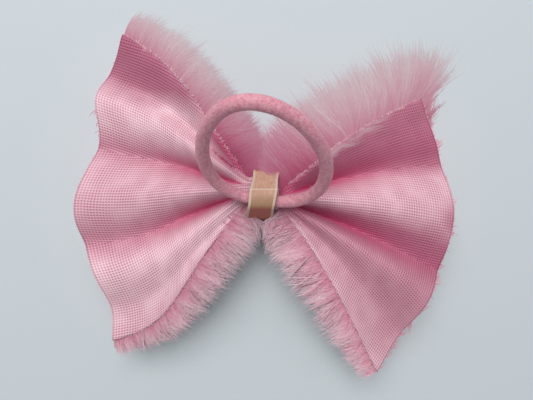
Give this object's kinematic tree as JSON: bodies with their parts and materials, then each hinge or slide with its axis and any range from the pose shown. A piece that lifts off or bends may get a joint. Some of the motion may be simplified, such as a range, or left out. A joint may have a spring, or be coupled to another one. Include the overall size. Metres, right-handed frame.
{
  "type": "hair bow",
  "caption": "Long-pile faux-fur hair bow seen from its woven back, with pleated waist, velvet centre ribbon and a covered elastic ring for a ponytail.",
  "frame": {"origin": "under the middle of the bow's box, on the plane that the fur lies on", "axes": "+X along the bow, +Y towards the edge that the elastic ring leans to, +Z out of the woven back"},
  "size_m": [0.1488, 0.1412, 0.0772],
  "materials": {
    "backing": "matte knitted backing cloth",
    "fur": "soft long pile with silky tips",
    "ribbon": "velvet with a low sheen",
    "elastic_cover": "matte brushed knit",
    "rubber": "matte",
    "thread": "matte twisted thread",
    "glue": "clear satin"
  },
  "bodies": {
    "waist": {"waist_gathers": "backing", "binding_thread": "thread", "glue_bead": "glue", "centre_ribbon": "ribbon"},
    "left_wing": {"left_wing_backing": "backing", "left_wing_pile": "fur"},
    "right_wing": {"right_wing_backing": "backing", "right_wing_pile": "fur"},
    "ring": {"elastic_sheath": "elastic_cover", "elastic_core": "rubber", "elastic_joint": "elastic_cover"}
  },
  "joints": [
    {"name": "ring_swing", "type": "hinge", "parent": "waist", "child": "ring", "pos_m": [0.00001, 0.00231, 0.0314], "axis": [0.9903, -0.1392, 0], "range_deg": [-39, 92]},
    {"name": "left_wing_flex", "type": "hinge", "parent": "waist", "child": "left_wing", "pos_m": [-0.00649, 0.00381, 0.0275], "axis": [0, 1, 0], "range_deg": [-12, 15], "stiffness_Nm_per_rad": 0.08},
    {"name": "right_wing_flex", "type": "hinge", "parent": "waist", "child": "right_wing", "pos_m": [0.00651, 0.00381, 0.0275], "axis": [0, -1, 0], "range_deg": [-12, 15], "stiffness_Nm_per_rad": 0.08}
  ]
}
